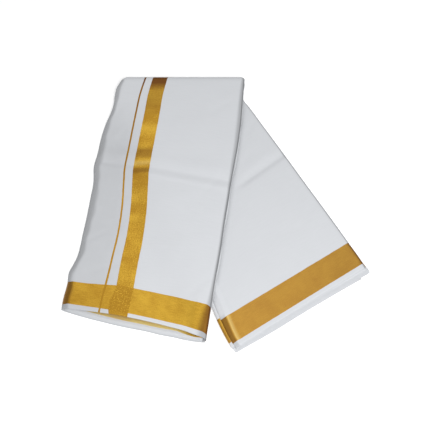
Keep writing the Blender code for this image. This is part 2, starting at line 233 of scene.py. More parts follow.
class DhotiSizes(bpy.types.PropertyGroup):
    """The woven pattern's sizes and the cloth's wall."""

    wall: FloatProperty(
        name="Cloth", description="Thickness of one leaf", default=0.0005,
        min=0.0002, max=0.0008, precision=4, subtype="DISTANCE", unit="LENGTH",
    )
    selvedge: FloatProperty(
        name="Selvedge", description="White edge outside the gold border", default=0.0113,
        precision=4, subtype="DISTANCE", unit="LENGTH",
    )
    border: FloatProperty(
        name="Border", description="Width of the gold border", default=0.0505,
        precision=4, subtype="DISTANCE", unit="LENGTH",
    )
    band: FloatProperty(
        name="Band", description="Width of the gold band across the cloth", default=0.0365,
        precision=4, subtype="DISTANCE", unit="LENGTH",
    )
    line: FloatProperty(
        name="Thin line", description="Width of the thin gold line", default=0.0041,
        precision=4, subtype="DISTANCE", unit="LENGTH",
    )
    line_gap: FloatProperty(
        name="Line to band", description="From the thin line's middle to the band", default=0.0205,
        precision=4, subtype="DISTANCE", unit="LENGTH",
    )
    thread: FloatProperty(
        name="Thread pitch", description="Distance between the weave's threads", default=0.0005,
        precision=5, subtype="DISTANCE", unit="LENGTH",
    )
    creasing: FloatProperty(
        name="Creasing", description="Share of the creases' and swells' height", default=1.0,
        min=0.0, max=1.5, subtype="FACTOR",
    )


class DhotiColours(bpy.types.PropertyGroup):
    """The colours of cotton and zari."""

    cotton: FloatVectorProperty(
        name="Cotton", description="The white ground", subtype="COLOR", size=3,
        default=(0.635, 0.65, 0.675), min=0.0, max=1.0,
    )
    zari: FloatVectorProperty(
        name="Zari", description="Bright gold of band and border", subtype="COLOR", size=3,
        default=(0.69, 0.42, 0.048), min=0.0, max=1.0,
    )
    zari_deep: FloatVectorProperty(
        name="Deep zari", description="Gold between the raised threads", subtype="COLOR", size=3,
        default=(0.46, 0.24, 0.022), min=0.0, max=1.0,
    )
    # Painted shade: gold takes this colour on turned edges and towards the top fold.
    zari_worn: FloatVectorProperty(
        name="Worn zari", description="Gold on turned, handled edges", subtype="COLOR", size=3,
        default=(0.18, 0.070, 0.014), min=0.0, max=1.0,
    )
    zari_warm: FloatVectorProperty(
        name="Warm zari", description="Redder gold of the half underneath", subtype="COLOR", size=3,
        default=(0.62, 0.31, 0.085), min=0.0, max=1.0,
    )
    # Painted highlight: gold takes this colour where the turned attribute is below 0 and where creases
    # cross the band.
    zari_polished: FloatVectorProperty(
        name="Polished zari", description="Gold that is rubbed bright", subtype="COLOR", size=3,
        default=(0.96, 0.76, 0.30), min=0.0, max=1.0,
    )
    floor: FloatVectorProperty(
        name="Floor", description="The pale floor", subtype="COLOR", size=3,
        default=(0.90, 0.90, 0.90), min=0.0, max=1.0,
    )


# ---- The shape of folded cloth -------------------------------------------------------------------


def smooth_step(value):
    value = np.clip(value, 0.0, 1.0)
    return value * value * (3 - 2 * value)


def mix(low, high, share):
    return low + (high - low) * share


def curve_through(knots, values, at):
    """Values on one smooth curve through the knots, one column for each quantity."""
    knots = np.asarray(knots, float)
    values = np.asarray(values, float)
    slopes = np.gradient(values, knots, axis=0)
    at = np.clip(at, knots[0], knots[-1])
    place = np.clip(np.searchsorted(knots, at, side="right") - 1, 0, len(knots) - 2)
    step = knots[place + 1] - knots[place]
    t = (at - knots[place]) / step
    if values.ndim > 1:
        t = t[..., None]
        step = step[..., None]
    low, high = values[place], values[place + 1]
    low_slope, high_slope = slopes[place] * step, slopes[place + 1] * step
    hold = (1 + 2 * t) * (1 - t) ** 2 * low + t * (1 - t) ** 2 * low_slope
    return hold + t * t * (3 - 2 * t) * high + t * t * (t - 1) * high_slope


def straight_through(table, at):
    """The table's second column at places in its first, on straight lines."""
    rows = np.array(table)
    return np.interp(at, rows[:, 0], rows[:, 1])


def smooth_through(table, at, column=1):
    """One of the table's columns at places in its first, on a smooth curve."""
    rows = np.array(table)
    return curve_through(rows[:, 0], rows[:, column], at)


class Strip:
    """A run of sections, read at any distance down the strip from its first one."""

    def __init__(self, sections, left_swells=()):
        table = np.array(sections, float)
        self.left_swells = left_swells[::-1]
        self.fields = sections[0]._fields
        left_steps = np.hypot(np.diff(table[:, 0]), np.diff(table[:, 1]))
        right_steps = np.hypot(np.diff(table[:, 2]), np.diff(table[:, 3]))
        self.left_run = np.concatenate([[0], np.cumsum(left_steps)])
        self.right_run = np.concatenate([[0], np.cumsum(right_steps)])
        self.down = (self.left_run + self.right_run) / 2
        self.length = self.down[-1]
        self.table = table

    def at(self, down, field):
        return curve_through(self.down, self.table[:, self.fields.index(field)], down)

    def ends(self, down):
        return [self.at(down, name) for name in ("left_x", "left_y", "right_x", "right_y")]

    def width(self, down):
        left_x, left_y, right_x, right_y = self.ends(down)
        return np.hypot(right_x - left_x, right_y - left_y)

    def plan(self, down, across, out=0.0):
        """Plan position at a distance across from the left end, moved out along the strip."""
        left_x, left_y, right_x, right_y = self.ends(down)
        width = np.hypot(right_x - left_x, right_y - left_y)
        along_x = (right_x - left_x) / width
        along_y = (right_y - left_y) / width
        if "bow" in self.fields:
            share = np.clip(across / width, 0.0, 1.0)
            out = out + self.at(down, "bow") * np.sin(np.pi * share)
        if self.left_swells:
            swell = smooth_through(self.left_swells, left_y)
            across = across - swell * smooth_step(1 - across / SWELL_REACH)
        x = left_x + along_x * across + along_y * out
        y = left_y + along_y * across - along_x * out
        return x, y

    def from_lip(self, down, across, border_rise=0.0):
        """Distance along the cloth from the strip's lip, less where the border is woven wider."""
        sizes = bpy.context.scene.dhoti_sizes
        left = self.left_run[-1] - curve_through(self.down, self.left_run, down)
        right = self.right_run[-1] - curve_through(self.down, self.right_run, down)
        distance = mix(left, right, np.clip(across / self.width(down), 0.0, 1.0))
        return distance - border_rise * np.clip((distance - sizes.selvedge) / sizes.border, 0.0, 1.0)

    def near_lip(self, down, length):
        """0 further than that length from the strip's last section, and 1 there."""
        return smooth_step(1 - (self.length - down) / length)


front = Strip(FRONT, LEFT_SWELLS)
back = Strip(BACK)
second_back = Strip(SECOND_BACK)


def ground_under_front(x, y):
    """Height of the front half's underside: on the back half, beside it, or on its way down."""
    edge = np.interp(y, back.table[::-1, 1], back.table[::-1, 0])
    return UNDER_FRONT * smooth_step((x - edge + SLOPE + SHOULDER) / SLOPE)


def crease_offset(x, y, creases):
    """Height that creases take off a leaf: each is soft across and dies away at its ends."""
    total = np.zeros_like(x)
    for crease in creases:
        run_x, run_y = crease.end_x - crease.start_x, crease.end_y - crease.start_y
        length = math.hypot(run_x, run_y)
        along = ((x - crease.start_x) * run_x + (y - crease.start_y) * run_y) / length
        aside = ((x - crease.start_x) * run_y - (y - crease.start_y) * run_x) / length
        ends = smooth_step(along / CREASE_FADE + 0.5) * smooth_step((length - along) / CREASE_FADE + 0.5)
        half_width = crease.half_width * np.where(aside < 0, crease.far, 1.0)
        total -= crease.depth * ends * np.exp(-(aside / half_width) ** 2)
    return total


def swell_offset(x, y):
    total = np.zeros_like(x)
    for swell in SWELLS:
        angle = math.radians(swell.direction)
        along = x * math.cos(angle) + y * math.sin(angle)
        total += swell.height * np.sin(along * 2 * math.pi / swell.length + swell.phase)
    return total


def fold_points(turn, across, height, left_x):
    """Points round the top fold, from the front half at no turn to the back half at half a turn."""
    radius = HINGE_R + height
    x = left_x + across
    return np.stack([x, FOLD_Y + radius * np.sin(turn), HINGE_Z + radius * np.cos(turn)], axis=-1)


def placed(points):
    """Points of the tables' plan, moved to the object's own origin."""
    return points - np.array([PLAN_CENTRE[0], PLAN_CENTRE[1], 0.0])


def elliptic_roll(centre, reach, middle, rise, degrees):
    """Across and height of a rolled edge that follows part of an ellipse."""
    angle = np.radians(degrees)
    return centre + reach * np.cos(angle), middle + rise * np.sin(angle)


# ---- Meshes --------------------------------------------------------------------------------------


def cloth_grid(name, points, cloth, turned, wall, material):
    """A flat primitive grid whose points go where the rows and columns say, given a thin wall."""
    rows, columns = points.shape[:2]
    bpy.ops.object.select_all(action="DESELECT")
    bpy.ops.mesh.primitive_grid_add(x_subdivisions=columns - 1, y_subdivisions=rows - 1, size=1.0)
    made = bpy.context.object
    made.name = name
    made.data.name = name
    mesh = made.data
    if len(mesh.vertices) != rows * columns:
        raise RuntimeError(f"{name}: the grid has {len(mesh.vertices)} points, not {rows * columns}")
    start = np.empty(len(mesh.vertices) * 3, np.float32)
    mesh.vertices.foreach_get("co", start)
    start = start.reshape(-1, 3)
    column = np.rint((start[:, 0] + 0.5) * (columns - 1)).astype(int)
    row = np.rint((start[:, 1] + 0.5) * (rows - 1)).astype(int)
    mesh.vertices.foreach_set("co", placed(points)[row, column].astype(np.float32).ravel())
    corners = np.empty(len(mesh.loops), np.int32)
    mesh.loops.foreach_get("vertex_index", corners)
    uv_map = mesh.uv_layers[0]
    uv_map.name = "cloth"
    uv_map.data.foreach_set("uv", cloth[row, column][corners].astype(np.float32).ravel())
    # The turned attribute carries painted shade where it is above 0 and painted highlight where it is
    # below 0.
    handled = mesh.attributes.new("turned", "FLOAT", "POINT")
    handled.data.foreach_set("value", turned[row, column].astype(np.float32))
    mesh.materials.clear()
    mesh.materials.append(material)
    mesh.update()
    bpy.ops.object.shade_smooth()
    shell = made.modifiers.new("wall", "SOLIDIFY")
    shell.thickness = wall
    shell.offset = 0.0
    bpy.ops.object.modifier_apply(modifier=shell.name)
    return made


def paths_between(start, end, count):
    """Evenly spaced values for each row, from one column of values to another."""
    shares = np.linspace(0.0, 1.0, count)
    return start[:, None] + (end - start)[:, None] * shares


def run_along(across, height):
    """Distance along a section's path, measured from its first point."""
    steps = np.hypot(np.diff(across, axis=1), np.diff(height, axis=1))
    return np.concatenate([np.zeros((len(across), 1)), np.cumsum(steps, axis=1)], axis=1)


# ---- Materials -----------------------------------------------------------------------------------


class Nodes:
    """Short calls for building one material's nodes."""

    def __init__(self, name):
        self.material = bpy.data.materials.new(name)
        self.material.use_nodes = True
        self.tree = self.material.node_tree
        self.shader = self.tree.nodes["Principled BSDF"]

    def node(self, kind, **settings):
        made = self.tree.nodes.new(kind)
        for key, value in settings.items():
            setattr(made, key, value)
        return made

    def plug(self, socket, value):
        if isinstance(value, bpy.types.NodeSocket):
            self.tree.links.new(value, socket)
        else:
            socket.default_value = value

    def math(self, operation, first, second=0.0, third=0.0):
        made = self.node("ShaderNodeMath", operation=operation)
        for socket, value in zip(made.inputs, (first, second, third)):
            self.plug(socket, value)
        return made.outputs[0]

    def times(self, first, second):
        return self.math("MULTIPLY", first, second)

    def plus(self, first, second):
        return self.math("ADD", first, second)

    def minus(self, first, second):
        return self.math("SUBTRACT", first, second)

    def most(self, first, second):
        return self.math("MAXIMUM", first, second)

    def least(self, first, second):
        return self.math("MINIMUM", first, second)

    def between(self, value, low, high, soft):
        """1 from low to high and 0 outside, with edges that many metres soft."""
        rising = self.node("ShaderNodeMapRange", interpolation_type="SMOOTHSTEP")
        falling = self.node("ShaderNodeMapRange", interpolation_type="SMOOTHSTEP")
        for made, edge, first, last in ((rising, low, 0.0, 1.0), (falling, high, 1.0, 0.0)):
            self.plug(made.inputs["Value"], value)
            made.inputs["From Min"].default_value = edge - soft
            made.inputs["From Max"].default_value = edge + soft
            made.inputs["To Min"].default_value = first
            made.inputs["To Max"].default_value = last
        return self.math("MULTIPLY", rising.outputs[0], falling.outputs[0])

    def colour_mix(self, share, first, second):
        made = self.node("ShaderNodeMix", data_type="RGBA")
        self.plug(made.inputs[0], share)
        for socket, value in ((made.inputs[6], first), (made.inputs[7], second)):
            self.plug(socket, value if isinstance(value, bpy.types.NodeSocket) else (*value, 1.0))
        return made.outputs[2]

    def ramp(self, value, low, high):
        """Value as a share of the way from low to high."""
        made = self.node("ShaderNodeMapRange")
        self.plug(made.inputs["Value"], value)
        made.inputs["From Min"].default_value = low
        made.inputs["From Max"].default_value = high
        return made.outputs[0]

    def noise(self, vector, scale, detail=2.0):
        made = self.node("ShaderNodeTexNoise")
        self.plug(made.inputs["Vector"], vector)
        made.inputs["Scale"].default_value = scale
        made.inputs["Detail"].default_value = detail
        return made.outputs["Fac"]

    def stretched(self, u, v, u_scale, v_scale):
        """The cloth's coordinates, each on its own scale."""
        made = self.node("ShaderNodeCombineXYZ")
        self.plug(made.inputs[0], self.times(u, u_scale))
        self.plug(made.inputs[1], self.times(v, v_scale))
        return made.outputs[0]


STRIPE_WANDER = 0.0012  # the range within which the woven stripes' edges wander
STRIPE_SOFT = 0.00025  # how soft those edges are
# What moves the zari's tone on its way from deep, at the first of these, to bright, at the second.
ZARI_DEEP_AT, ZARI_BRIGHT_AT = 0.30, 0.62
STREAK_TONE, GRAIN_TONE = 0.55, 0.45
CROSSING_GRAIN, CROSSING_TONE = 1.5, 0.13
PATCH_TONE = 0.42
LINE_TONE = 0.12
STRETCH_TONE = 0.95
SPECKLE_TONE, BORDER_SPECKLE = 0.8, 0.25
DULL_TONE = 0.085
LEFT_OF_BAND = (0.045, -0.015)  # where the border grows duller, to the left

# Where painted shade darkens gold and a painted highlight brightens it, on the object's own y: from, to,
# how soft its ends are, and how much.
Gleam = namedtuple("Gleam", "start end soft amount")
BAND_DULL = [Gleam(0.104, 0.130, 0.007, 0.50), Gleam(0.066, 0.080, 0.005, 0.46)]
BAND_BRIGHT = Gleam(0.087, 0.097, 0.005, 0.24)
# Painted shade that darkens gold towards the top fold, with the thin line darkening towards it too: from
# y, to y, and how much.
Fade = namedtuple("Fade", "start end amount")
TOP_FADE = Fade(0.215, 0.250, 0.34)
FOLD_FADE = Fade(0.296, 0.317, 0.66)
LINE_FADE = Fade(0.02, 0.26, 0.60)
WARM_FADE = Fade(-0.010, 0.030, 0.45)  # on x: the gold is redder to the right, on the half underneath
WORN_GOLD = 0.85  # how far the gold goes to its painted-shade colour where the painted shade is strongest

COTTON_HOLLOW = 0.98  # brightness of the cotton between its slubs
COTTON_BEYOND = 0.84  # and left of the band, where shade is painted on
COTTON_SOILED = 0.36  # and under painted shade on turned edges
SOIL = 0.62  # how much of the painted-shade colour shows where the painted shade is strongest


def shade_of(colour, brightness):
    return tuple(channel * brightness for channel in colour)


def gleam_at(make, y, gleam):
    return make.times(make.between(y, gleam.start, gleam.end, gleam.soft), gleam.amount)


def fade_at(make, place, fade):
    return make.times(make.ramp(place, fade.start, fade.end), fade.amount)


def cotton_with_zari():
    """White plain-weave cotton whose gold border, band and line follow the cloth's own coordinates."""
    found = bpy.data.materials.get("cotton_with_zari")
    if found:
        return found
    sizes = bpy.context.scene.dhoti_sizes
    colours = bpy.context.scene.dhoti_colours
    make = Nodes("cotton_with_zari")
    cloth = make.node("ShaderNodeUVMap", uv_map="cloth")
    parts = make.node("ShaderNodeSeparateXYZ")
    make.plug(parts.inputs[0], cloth.outputs[0])
    u, v = parts.outputs[0], parts.outputs[1]
    place = cloth.outputs[0]

    wander = make.times(make.minus(make.noise(place, 90.0), 0.5), STRIPE_WANDER)
    u_edge = make.plus(u, wander)
    v_edge = make.plus(v, wander)
    border = make.between(v_edge, sizes.selvedge, sizes.selvedge + sizes.border, STRIPE_SOFT)
    band = make.between(u_edge, 0.0, sizes.band, STRIPE_SOFT)
    half_line = sizes.line / 2
    line = make.between(
        u_edge, -sizes.line_gap - half_line, -sizes.line_gap + half_line, STRIPE_SOFT
    )
    gold = make.most(make.most(border, band), line)
    crossing = make.times(border, make.most(band, line))

    # Streaks follow the metal threads: along the border, and along the band.
    border_streak = make.noise(make.stretched(u, v, 60.0, 1500.0), 1.0, 3.0)
    band_streak = make.noise(make.stretched(u, v, 1500.0, 60.0), 1.0, 3.0)
    streak_mix = make.node("ShaderNodeMix", data_type="FLOAT")
    make.plug(streak_mix.inputs[0], band)
    make.plug(streak_mix.inputs[2], border_streak)
    make.plug(streak_mix.inputs[3], band_streak)
    streak = streak_mix.outputs[0]
    grain = make.noise(place, 620.0, 4.0)
    coarse = make.noise(place, 400.0, 3.0)
    patches = make.noise(place, 34.0, 2.0)
    turned = make.node("ShaderNodeAttribute", attribute_name="turned").outputs["Fac"]

    # Plain weave: warp and weft threads cross as a fine chequer of raised crossings.
    turns = 2 * math.pi / (sizes.thread * 2)
    warp = make.math("SINE", make.times(u, turns))
    weft = make.math("SINE", make.times(v, turns))
    weave = make.times(warp, weft)

    tone = make.plus(make.times(streak, STREAK_TONE), make.times(grain, GRAIN_TONE))
    crossing_grain = make.times(make.minus(coarse, 0.5), CROSSING_GRAIN)
    tone = make.plus(tone, make.times(crossing, make.minus(crossing_grain, CROSSING_TONE)))
    tone = make.plus(tone, make.times(make.minus(patches, 0.5), PATCH_TONE))
    tone = make.minus(tone, make.times(line, LINE_TONE))
    # Broad dull and bright stretches follow one another along the band.
    stretches = make.noise(make.stretched(u, v, 5.0, 17.0), 1.0, 2.5)
    stretches = make.times(band, make.minus(stretches, 0.5))
    tone = make.plus(tone, make.times(stretches, STRETCH_TONE))
    speckle = make.times(make.plus(BORDER_SPECKLE, band), make.minus(coarse, 0.5))
    tone = make.plus(tone, make.times(speckle, SPECKLE_TONE))
    duller = make.most(band, make.ramp(u, *LEFT_OF_BAND))
    tone = make.minus(tone, make.times(duller, DULL_TONE))
    bright = make.ramp(tone, ZARI_DEEP_AT, ZARI_BRIGHT_AT)
    zari = make.colour_mix(bright, colours.zari_deep, colours.zari)

    top = make.node("ShaderNodeSeparateXYZ")
    make.plug(top.inputs[0], make.node("ShaderNodeTexCoord").outputs["Object"])
    x, y = top.outputs[0], top.outputs[1]
    folded = fade_at(make, y, TOP_FADE)
    folded = make.plus(folded, fade_at(make, y, FOLD_FADE))
    line_share = make.times(line, LINE_FADE.amount)
    folded = make.most(folded, make.times(line_share, make.ramp(y, LINE_FADE.start, LINE_FADE.end)))
    # Where creases cross the band its threads catch less light on one side and more on the other.
    creased = gleam_at(make, y, BAND_DULL[0])
    creased = make.plus(creased, gleam_at(make, y, BAND_DULL[1]))
    folded = make.most(folded, make.times(creased, band))
    zari = make.colour_mix(fade_at(make, x, WARM_FADE), zari, colours.zari_warm)
    # Painted shade: gold goes to its shaded colour on turned edges and towards the top fold.
    worn = make.most(make.times(turned, WORN_GOLD), folded)
    zari = make.colour_mix(make.least(worn, 1.0), zari, colours.zari_worn)
    # Painted highlight: gold goes to its highlight colour where the attribute is below 0 and on the
    # band's crease line.
    caught = make.times(gleam_at(make, y, BAND_BRIGHT), band)
    shine = make.most(make.times(turned, -1.0), caught)
    zari = make.colour_mix(make.least(shine, 1.0), zari, colours.zari_polished)

    slub = make.noise(make.stretched(u, v, 30.0, 420.0), 1.0, 3.0)
    hollow = shade_of(colours.cotton, COTTON_HOLLOW)
    cotton = make.colour_mix(make.ramp(slub, 0.35, 0.65), hollow, colours.cotton)
    # Painted shade: the cloth left of the band is a little darker, more so away from the top fold.
    beyond = make.times(make.ramp(u, 0.045, -0.035), make.ramp(v, 0.53, 0.40))
    beyond = make.times(beyond, make.plus(0.7, make.times(patches, 0.6)))
    cotton = make.colour_mix(beyond, cotton, shade_of(colours.cotton, COTTON_BEYOND))
    # Painted shade on the cotton, growing with the square of the attribute above 0.
    edge = make.most(turned, 0.0)
    soil = make.times(make.times(edge, edge), SOIL)
    cotton = make.colour_mix(make.least(soil, 1.0), cotton, shade_of(colours.cotton, COTTON_SOILED))
    make.plug(make.shader.inputs["Base Color"], make.colour_mix(gold, cotton, zari))
    make.plug(make.shader.inputs["Metallic"], make.times(gold, 0.7))
    rough = make.minus(0.86, make.times(gold, 0.44))
    rough = make.plus(rough, make.times(crossing, 0.10))
    make.plug(make.shader.inputs["Roughness"], rough)
    make.shader.inputs["Specular IOR Level"].default_value = 0.2

    # Heights of the threads, the slubs and the metal thread's grain, in metres.
    relief = make.times(weave, 0.00004)
    relief = make.plus(relief, make.times(slub, 0.00005))
    gold_relief = make.times(make.times(grain, gold), 0.00022)
    relief = make.plus(relief, gold_relief)
    bump = make.node("ShaderNodeBump")
    bump.inputs["Strength"].default_value = 0.6
    bump.inputs["Distance"].default_value = 1.0
    make.plug(bump.inputs["Height"], relief)
    make.plug(make.shader.inputs["Normal"], bump.outputs[0])
    return make.material


def pale_floor():
    colours = bpy.context.scene.dhoti_colours
    make = Nodes("pale_floor")
    position = make.node("ShaderNodeTexCoord").outputs["Object"]
    clouded = make.noise(position, 3.0)
    worn = shade_of(colours.floor, 0.99)
    make.plug(make.shader.inputs["Base Color"], make.colour_mix(clouded, worn, colours.floor))
    make.shader.inputs["Emission Color"].default_value = (1.0, 1.0, 1.0, 1.0)
    make.shader.inputs["Emission Strength"].default_value = 0.27
    make.shader.inputs["Roughness"].default_value = 0.9
    make.shader.inputs["Specular IOR Level"].default_value = 0.1
    return make.material


# ---- The pieces ----------------------------------------------------------------------------------


def finish_piece(piece, *nodes):
    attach(piece, "root")
    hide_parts(*nodes)


class DHOTI_OT_front_wrap(bpy.types.Operator):
    """Make the outermost leaf: under the front half, round its left, and over its top and the top fold"""

    bl_idname = "dhoti.front_wrap"
    bl_label = "Front wrap"

    TOP_COLUMNS = 76
    UNDER_COLUMNS = 26
    ROWS = 165
    FOLD_ROWS = 14
    RIGHT_ROLL_DEGREES = np.linspace(-50, 90, 11)[:-1]
    LEFT_UPPER_DEGREES = np.linspace(90, 180, 12)[1:]
    LEFT_LOWER_DEGREES = np.linspace(180, 270, 6)[1:-1]
    LEFT_ROLL = 0.0130  # reach of the left fold's long upper slope
    LEFT_UNDER = 0.0040  # reach of its short lower turn
    LEFT_LOW = 0.0032  # height of its outermost line
    LEFT_POWER = 1.35  # 2 would make the slope a quarter of an ellipse, and 1 a straight chamfer
    UNDER_SKEW = 0.005  # how much narrower the selvedge of the leaf's underside is at the right
    SKEW_FROM, SKEW_OVER = 0.6, 0.35  # shares of the width where that starts, and over which it grows
    UNDER_END = 0.002  # how far inside the right side the underside ends
    FAR_RIGHT = 0.4  # a distance beyond every section's width
    SETTLE = 0.03  # length below the top fold over which creases and swells grow

    # Painted shade on the left fold: its shaded strip and the soft edge of it, then its outermost line.
    LEFT_SOIL, LEFT_SOFT = 0.84, 0.0095
    LEFT_RIM, LEFT_RIM_REACH = 0.12, 0.002
    LEFT_WANDER, LEFT_WANDER_LENGTH = 0.0010, 0.047  # how the strip's edge wanders
    LEFT_AT_FOLD = 0.012  # the strip's reach over the top fold
    # The right fold's strip of painted shade reaches in by a share of the fold's own reach, with more for
    # the part of that reach that goes beyond a wide fold's, and for the part that lies in a middle range.
    RIGHT_SOIL, RIGHT_SOFT = 0.95, 0.65
    RIGHT_RIM, RIGHT_RIM_START, RIGHT_RIM_SOFT = 0.4, 0.0042, 0.0030
    ROLL_SHARE, WIDE_SHARE, MIDDLE_SHARE = 1.1, 0.8, 1.3
    WIDE_ROLL, MIDDLE_ROLL, MIDDLE_ROLL_RANGE = 0.012, 0.0095, 0.002
    POLISH, POLISH_IN, POLISH_WIDTH = 0.60, 0.034, 0.007  # a painted highlight stripe inside the right fold
    UNDERSIDE_SOFT = 0.15  # share of the height over which all this fades to the underside
    TOP_WEAR, TOP_WEAR_REACH = 0.35, 0.010  # painted shade on the top fold, and how far down it reaches

    def section_paths(self, width, right_roll, wall):
        """Across and height of the section's path, from its tucked right edge over the top and under."""
        top = HALF - wall / 2 - 0.0001
        bottom = wall / 2 + 0.0001
        middle, rise = (top + bottom) / 2, (top - bottom) / 2
        flat = np.full_like(width, 1.0)
        roll_centre = (width - right_roll)[:, None]
        right_across, right_height = elliptic_roll(
            roll_centre, right_roll[:, None], middle, rise, self.RIGHT_ROLL_DEGREES[None, :]
        )
        top_across = paths_between(width - right_roll, flat * self.LEFT_ROLL, self.TOP_COLUMNS)
        slope = np.radians(self.LEFT_UPPER_DEGREES)
        power = 2 / self.LEFT_POWER
        low, under = self.LEFT_LOW, self.LEFT_UNDER
        slope_across = self.LEFT_ROLL * (1 - np.abs(np.cos(slope)) ** power)
        slope_height = low + (top - low) * np.abs(np.sin(slope)) ** power
        turn_across, turn_height = elliptic_roll(under, under, low, low - bottom, self.LEFT_LOWER_DEGREES)
        left_across = np.concatenate([slope_across, turn_across])
        left_height = np.concatenate([slope_height, turn_height])
        under_across = paths_between(flat * under, width - self.UNDER_END, self.UNDER_COLUMNS)
        across = np.hstack([right_across, top_across, left_across * flat[:, None], under_across])
        height = np.hstack([
            right_height * flat[:, None],
            np.full_like(top_across, top),
            left_height * flat[:, None],
            np.full_like(under_across, bottom),
        ])
        return across, height, np.clip((height - bottom) / (top - bottom), 0.0, 1.0)

    def turned_at(self, width, right_roll, left_reach, across, raised):
        """How much painted shade each point gets: about 1 on a turned edge, and below 0 where a painted
        highlight goes.
        """
        left = self.LEFT_SOIL * smooth_step((left_reach - across) / self.LEFT_SOFT)
        left = left + self.LEFT_RIM * smooth_step((self.LEFT_RIM_REACH - across) / self.LEFT_RIM_REACH)
        inside = width[:, None] - across
        wide = np.maximum(right_roll - self.WIDE_ROLL, 0.0)
        reach = self.ROLL_SHARE * right_roll + self.WIDE_SHARE * wide
        middle = np.clip(right_roll - self.MIDDLE_ROLL, 0.0, self.MIDDLE_ROLL_RANGE)
        reach = (reach + self.MIDDLE_SHARE * middle)[:, None]
        right = self.RIGHT_SOIL * smooth_step((reach - inside) / (self.RIGHT_SOFT * reach))
        rim = smooth_step((self.RIGHT_RIM_START - inside) / self.RIGHT_RIM_SOFT)
        right = right + self.RIGHT_RIM * rim
        polished = self.POLISH * np.exp(-((inside - self.POLISH_IN) / self.POLISH_WIDTH) ** 2)
        return (np.maximum(left, right) - polished) * smooth_step(raised / self.UNDERSIDE_SOFT)

    def cloth_u(self, down, across, height):
        """The cloth's coordinate across the strip, with line and band where the sections say."""
        sizes = bpy.context.scene.dhoti_sizes
        on_top = np.zeros_like(across)
        for row, level in enumerate(np.broadcast_to(down, (len(across),))):
            line = float(front.at(level, "line"))
            left = float(front.at(level, "band_left"))
            right = float(front.at(level, "band_right"))
            marks = [0.0, line, left, right, self.FAR_RIGHT]
            line_u, end_u = -sizes.line_gap, sizes.band + self.FAR_RIGHT - right
            places = [line_u - line, line_u, 0.0, sizes.band, end_u]
            on_top[row] = np.interp(across[row], marks, places)
        # Beyond the left roll's top the coordinate runs on along the path.
        run = run_along(across, height)
        turn_column = len(self.RIGHT_ROLL_DEGREES) + self.TOP_COLUMNS - 1
        beyond = on_top[:, turn_column:turn_column + 1] - (run - run[:, turn_column:turn_column + 1])
        u = on_top.copy()
        u[:, turn_column:] = beyond[:, turn_column:]
        return u

    def over_fold(self, wall):
        """Points, cloth coordinates and wear of the part that goes over the top fold."""
        turns = np.linspace(WRAP_END, 0.0, self.FOLD_ROWS, endpoint=False)
        turned_share = turns / math.pi
        width = mix(front.width(np.zeros(1))[0], back.width(np.zeros(1))[0], turned_share)
        right_roll = np.full_like(turns, FRONT[0].right_roll)
        across, height, raised = self.section_paths(width, right_roll, wall)
        turned = self.turned_at(width, right_roll, self.LEFT_AT_FOLD, across, raised)
        left_x = mix(FRONT[0].left_x, BACK[0].left_x, turned_share[:, None])
        points = fold_points(turns[:, None], across, height, left_x)
        u = self.cloth_u(np.zeros_like(turns), across, height)
        v = front.from_lip(np.zeros(1), np.zeros(1))[0] + turns[:, None] * (HINGE_R + HALF)
        return points, u, np.broadcast_to(v, across.shape), np.maximum(turned, self.TOP_WEAR)

    def down_front(self, sizes):
        """The same for the part that lies on the front half and under it."""
        downs = np.linspace(0.0, front.length, self.ROWS)
        down = downs[:, None]
        width = front.width(downs)
        right_roll = front.at(downs, "right_roll")
        across, height, raised = self.section_paths(width, right_roll, sizes.wall)
        wander = self.LEFT_WANDER * np.sin(down * 2 * math.pi / self.LEFT_WANDER_LENGTH)
        left_reach = straight_through(LEFT_HANDLED, down) + wander
        turned = self.turned_at(width, right_roll, left_reach, across, raised)
        top_wear = self.TOP_WEAR * smooth_step(1 - down / self.TOP_WEAR_REACH) * raised
        share = np.clip(across / width[:, None], 0.0, 1.0)
        under_out = lower_lip(share) * front.near_lip(down, LIP_SLIDE)
        sag = smooth_through(LIP_SHARES, share) * front.near_lip(down, CORNER_SAG)
        x, y = front.plan(down, across, mix(under_out, sag, raised))
        standing = front.at(down, "lift") * np.sin(np.pi * share ** LIFT_SKEW) ** 2
        relief = crease_offset(x, y, FRONT_CREASES) + swell_offset(x, y)
        settled = smooth_step(down / self.SETTLE)
        upper = np.clip(2 * raised - 1, 0.0, 1.0)
        height = height + upper * (standing + relief * sizes.creasing * settled)
        points = np.stack([x, y, ground_under_front(x, y) + height], axis=-1)
        u = self.cloth_u(downs, across, height)
        v = front.from_lip(down, across, smooth_through(LIP_SHARES, share, 2))
        skew = smooth_step((share - self.SKEW_FROM) / self.SKEW_OVER)
        v = v + (1 - raised) * self.UNDER_SKEW * skew
        return points, u, v, np.maximum(turned, top_wear)

    def execute(self, context):
        sizes = context.scene.dhoti_sizes
        parts = zip(self.over_fold(sizes.wall), self.down_front(sizes))
        points, u, v, turned = [np.concatenate(pair) for pair in parts]
        cloth = np.stack([u, v], axis=-1)
        piece = cloth_grid("front_wrap", points, cloth, turned, sizes.wall, cotton_with_zari())
        finish_piece(piece, "front_leaf", "front_second_leaf")
        return {"FINISHED"}


def lower_lip(share):
    """How far the leaf beneath sticks out at a share of the strip's width."""
    return smooth_through(LOWER_LIP, share)


